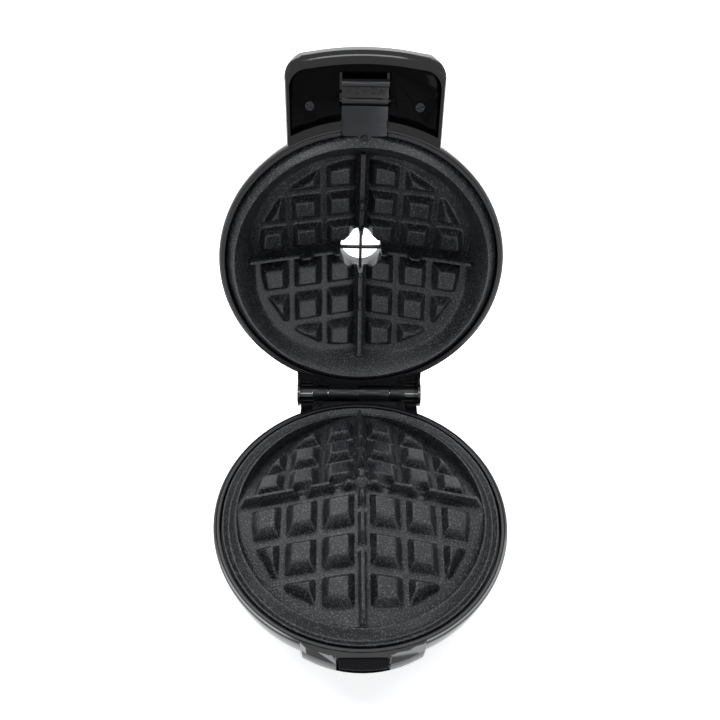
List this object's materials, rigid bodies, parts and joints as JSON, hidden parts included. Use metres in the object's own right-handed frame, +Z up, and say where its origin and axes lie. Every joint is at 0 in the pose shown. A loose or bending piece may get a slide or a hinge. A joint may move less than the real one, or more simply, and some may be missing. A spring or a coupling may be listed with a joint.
{
  "type": "belgian waffle maker",
  "caption": "Round Belgian waffle maker with a hinged lid open flat for filling, studded non-stick plates, filling hole, front handle and latch.",
  "frame": {"origin": "centre of the overall box in plan, at the level of the worktop under the feet", "axes": "+X to the appliance's right seen from the front along the hinge, +Y to the rear where the hinge is, +Z up"},
  "size_m": [0.212, 0.3222, 0.324],
  "materials": {
    "gloss_black": "gloss black moulded housing",
    "satin_black": "satin black moulding",
    "nonstick": "dark non-stick coating on cast aluminium",
    "dark_steel": "dark satin coated steel",
    "bright_steel": "plain bright steel",
    "aluminised": "aluminised sheet steel",
    "rubber": "black rubber",
    "ceramic": "off-white ceramic",
    "sleeve": "woven glass-fibre sleeve",
    "board": "plain circuit board",
    "red_lens": "red lens",
    "green_lens": "green lens"
  },
  "bodies": {
    "base": {"base_shell": "gloss_black", "base_bezel": "satin_black", "front_panel": "gloss_black", "latch_catch": "satin_black", "bottom_cover": "satin_black", "lower_plate": "nonstick", "cord_gland": "rubber", "foot_1": "rubber", "foot_2": "rubber", "foot_3": "rubber", "foot_4": "rubber", "cover_screw_1": "bright_steel", "cover_screw_2": "bright_steel", "cover_screw_3": "bright_steel", "cover_screw_4": "bright_steel", "lower_reflector": "aluminised", "lower_element": "bright_steel", "thermostat": "ceramic", "thermal_fuse": "sleeve", "terminal_block": "ceramic", "lead_1": "sleeve", "lead_2": "sleeve", "reflector_screw_1": "bright_steel", "reflector_screw_2": "bright_steel", "reflector_screw_3": "bright_steel", "hinge_bracket_lower": "dark_steel", "hinge_screw_lower_1": "dark_steel", "hinge_screw_lower_2": "dark_steel", "hinge_pin": "bright_steel"},
    "lid": {"hinge_bracket_upper": "dark_steel", "hinge_screw_upper_1": "dark_steel", "hinge_screw_upper_2": "dark_steel", "lid_shell": "gloss_black", "lid_bezel": "satin_black", "upper_plate": "nonstick", "filling_funnel": "satin_black", "upper_reflector": "aluminised", "upper_element": "bright_steel", "power_lamp": "red_lens", "ready_lamp": "green_lens", "lamp_board": "board", "handle_grip": "gloss_black", "handle_underside": "gloss_black", "handle_screw_1": "dark_steel", "handle_screw_2": "dark_steel", "latch_bracket": "dark_steel", "latch_screw": "dark_steel", "latch_pin": "bright_steel"},
    "latch": {"latch_lever": "satin_black"}
  },
  "joints": [
    {"name": "lid_hinge", "type": "hinge", "parent": "base", "child": "lid", "pos_m": [0, 0.06588, 0.0628], "axis": [1, 0, 0], "range_deg": [0, 101]},
    {"name": "latch_swing", "type": "hinge", "parent": "lid", "child": "latch", "pos_m": [0, 0.11465, 0.29272], "axis": [1, 0, 0], "range_deg": [0, 90]}
  ]
}
